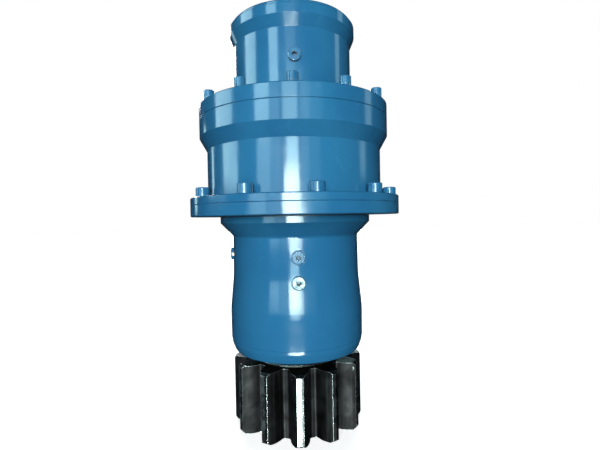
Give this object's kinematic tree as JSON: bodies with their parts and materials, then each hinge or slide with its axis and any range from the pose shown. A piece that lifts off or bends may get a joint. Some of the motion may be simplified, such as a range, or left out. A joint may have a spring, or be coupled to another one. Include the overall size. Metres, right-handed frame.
{
  "type": "industrial gearbox",
  "caption": "Upright planetary slewing gearbox: blue flanged housings with cap screws and oil plugs, spring-applied disc brake and a dark steel output pinion below.",
  "frame": {"origin": "centre of the mounting spigot, in the plane of the flange face that rests on the machine", "axes": "+Z along the gearbox's axis towards the motor end, the pinion hangs towards -Z, and the oil plugs face -Y"},
  "size_m": [0.381, 0.381, 0.7255],
  "materials": {
    "housing_paint": "gloss blue machinery paint over cast iron",
    "screw_paint": "gloss blue paint over steel, sprayed with the housings",
    "plated_steel": "zinc-plated steel",
    "pinion_steel": "oiled, darkened case-hardened steel with bright worn tooth tips",
    "gear_steel": "ground case-hardened steel",
    "carrier_iron": "machined nodular iron",
    "bearing_steel": "polished bearing steel",
    "bush_bronze": "turned bronze",
    "spring_steel": "blackened spring steel",
    "seal_rubber": "black nitrile rubber",
    "copper_washer": "soft copper",
    "disc_steel": "ground steel plate",
    "disc_lining": "sintered friction lining on steel"
  },
  "bodies": {
    "housing": {"output_housing": "housing_paint", "ring_gear_housing": "housing_paint", "brake_housing": "housing_paint", "motor_flange": "housing_paint", "flange_screws": "screw_paint", "ring_screws": "screw_paint", "ring_screw_washers": "screw_paint", "motor_flange_screws": "plated_steel", "flange_dowels": "bearing_steel", "brake_port_plug": "screw_paint", "oil_level_plug": "screw_paint", "oil_drain_plug": "plated_steel", "side_port_plug": "screw_paint", "plug_seal_rings": "copper_washer", "joint_o_rings": "seal_rubber", "shaft_seal": "seal_rubber", "seal_carrier": "carrier_iron", "bearing_snap_ring": "spring_steel", "lower_bearing_outer_ring": "bearing_steel", "upper_bearing_outer_ring": "bearing_steel", "input_bearing_outer_ring": "bearing_steel", "input_bearing_circlip": "spring_steel", "input_ring_gear": "gear_steel", "brake_outer_discs": "disc_steel", "brake_springs": "spring_steel"},
    "output_shaft": {"output_pinion_shaft": "pinion_steel", "lower_bearing_inner_ring": "bearing_steel", "upper_bearing_inner_ring": "bearing_steel", "bearing_spacer": "carrier_iron", "bearing_lock_nut": "carrier_iron", "output_carrier": "carrier_iron", "output_planet_pins": "bearing_steel", "output_planet_bushes": "bush_bronze"},
    "lower_bearing_rolling_set": {"lower_bearing_rollers": "bearing_steel"},
    "upper_bearing_rolling_set": {"upper_bearing_rollers": "bearing_steel"},
    "output_planet_1_gear": {"output_planet_1": "gear_steel"},
    "output_planet_2_gear": {"output_planet_2": "gear_steel"},
    "output_planet_3_gear": {"output_planet_3": "gear_steel"},
    "output_planet_4_gear": {"output_planet_4": "gear_steel"},
    "intermediate_stage": {"intermediate_carrier": "carrier_iron", "intermediate_planet_pins": "bearing_steel", "intermediate_planet_bushes": "bush_bronze", "output_sun_gear": "gear_steel"},
    "intermediate_planet_1_gear": {"intermediate_planet_1": "gear_steel"},
    "intermediate_planet_2_gear": {"intermediate_planet_2": "gear_steel"},
    "intermediate_planet_3_gear": {"intermediate_planet_3": "gear_steel"},
    "input_stage": {"input_carrier": "carrier_iron", "input_planet_pins": "bearing_steel", "input_planet_bushes": "bush_bronze", "intermediate_sun_gear": "gear_steel"},
    "input_planet_1_gear": {"input_planet_1": "gear_steel"},
    "input_planet_2_gear": {"input_planet_2": "gear_steel"},
    "input_planet_3_gear": {"input_planet_3": "gear_steel"},
    "input_shaft_set": {"input_shaft": "gear_steel", "input_bearing_inner_ring": "bearing_steel", "brake_inner_discs": "disc_lining"},
    "input_bearing_rolling_set": {"input_bearing_balls": "bearing_steel"},
    "brake_piston_set": {"brake_piston": "carrier_iron", "piston_seals": "seal_rubber"}
  },
  "joints": [
    {"name": "output_spin", "type": "hinge", "parent": "housing", "child": "output_shaft", "pos_m": [0, 0, 0], "axis": [0, 0, 1], "continuous": true},
    {"name": "lower_bearing_roll", "type": "hinge", "parent": "housing", "child": "lower_bearing_rolling_set", "pos_m": [0, 0, 0], "axis": [0, 0, 1], "continuous": true},
    {"name": "upper_bearing_roll", "type": "hinge", "parent": "housing", "child": "upper_bearing_rolling_set", "pos_m": [0, 0, 0], "axis": [0, 0, 1], "continuous": true},
    {"name": "output_planet_1_spin", "type": "hinge", "parent": "output_shaft", "child": "output_planet_1_gear", "pos_m": [0, -0.09, 0], "axis": [0, 0, 1], "continuous": true},
    {"name": "output_planet_2_spin", "type": "hinge", "parent": "output_shaft", "child": "output_planet_2_gear", "pos_m": [0.09, 0, 0], "axis": [0, 0, 1], "continuous": true},
    {"name": "output_planet_3_spin", "type": "hinge", "parent": "output_shaft", "child": "output_planet_3_gear", "pos_m": [0, 0.09, 0], "axis": [0, 0, 1], "continuous": true},
    {"name": "output_planet_4_spin", "type": "hinge", "parent": "output_shaft", "child": "output_planet_4_gear", "pos_m": [-0.09, 0, 0], "axis": [0, 0, 1], "continuous": true},
    {"name": "intermediate_spin", "type": "hinge", "parent": "housing", "child": "intermediate_stage", "pos_m": [0, 0, 0], "axis": [0, 0, 1], "continuous": true},
    {"name": "intermediate_planet_1_spin", "type": "hinge", "parent": "intermediate_stage", "child": "intermediate_planet_1_gear", "pos_m": [0, -0.09, 0], "axis": [0, 0, 1], "continuous": true},
    {"name": "intermediate_planet_2_spin", "type": "hinge", "parent": "intermediate_stage", "child": "intermediate_planet_2_gear", "pos_m": [0.07794, 0.045, 0], "axis": [0, 0, 1], "continuous": true},
    {"name": "intermediate_planet_3_spin", "type": "hinge", "parent": "intermediate_stage", "child": "intermediate_planet_3_gear", "pos_m": [-0.07794, 0.045, 0], "axis": [0, 0, 1], "continuous": true},
    {"name": "input_stage_spin", "type": "hinge", "parent": "housing", "child": "input_stage", "pos_m": [0, 0, 0], "axis": [0, 0, 1], "continuous": true},
    {"name": "input_planet_1_spin", "type": "hinge", "parent": "input_stage", "child": "input_planet_1_gear", "pos_m": [0, -0.0525, 0], "axis": [0, 0, 1], "continuous": true},
    {"name": "input_planet_2_spin", "type": "hinge", "parent": "input_stage", "child": "input_planet_2_gear", "pos_m": [0.04547, 0.02625, 0], "axis": [0, 0, 1], "continuous": true},
    {"name": "input_planet_3_spin", "type": "hinge", "parent": "input_stage", "child": "input_planet_3_gear", "pos_m": [-0.04547, 0.02625, 0], "axis": [0, 0, 1], "continuous": true},
    {"name": "input_spin", "type": "hinge", "parent": "housing", "child": "input_shaft_set", "pos_m": [0, 0, 0], "axis": [0, 0, 1], "continuous": true},
    {"name": "input_bearing_roll", "type": "hinge", "parent": "housing", "child": "input_bearing_rolling_set", "pos_m": [0, 0, 0], "axis": [0, 0, 1], "continuous": true},
    {"name": "brake_release", "type": "slide", "parent": "housing", "child": "brake_piston_set", "axis": [0, 0, 1], "range_m": [0, 0.002], "stiffness_N_per_m": 20000, "deforming": ["brake_springs"]}
  ],
  "couplings": [
    {"joint": "lower_bearing_roll", "follows": "output_spin", "ratio": 0.44375},
    {"joint": "upper_bearing_roll", "follows": "output_spin", "ratio": 0.4403},
    {"joint": "output_planet_1_spin", "follows": "output_spin", "ratio": -3},
    {"joint": "output_planet_2_spin", "follows": "output_spin", "ratio": -3},
    {"joint": "output_planet_3_spin", "follows": "output_spin", "ratio": -3},
    {"joint": "output_planet_4_spin", "follows": "output_spin", "ratio": -3},
    {"joint": "intermediate_spin", "follows": "output_spin", "ratio": 4},
    {"joint": "intermediate_planet_1_spin", "follows": "output_spin", "ratio": -12},
    {"joint": "intermediate_planet_2_spin", "follows": "output_spin", "ratio": -12},
    {"joint": "intermediate_planet_3_spin", "follows": "output_spin", "ratio": -12},
    {"joint": "input_stage_spin", "follows": "output_spin", "ratio": 16},
    {"joint": "input_planet_1_spin", "follows": "output_spin", "ratio": -44},
    {"joint": "input_planet_2_spin", "follows": "output_spin", "ratio": -44},
    {"joint": "input_planet_3_spin", "follows": "output_spin", "ratio": -44},
    {"joint": "input_spin", "follows": "output_spin", "ratio": 74.667},
    {"joint": "input_bearing_roll", "follows": "output_spin", "ratio": 31.585}
  ]
}
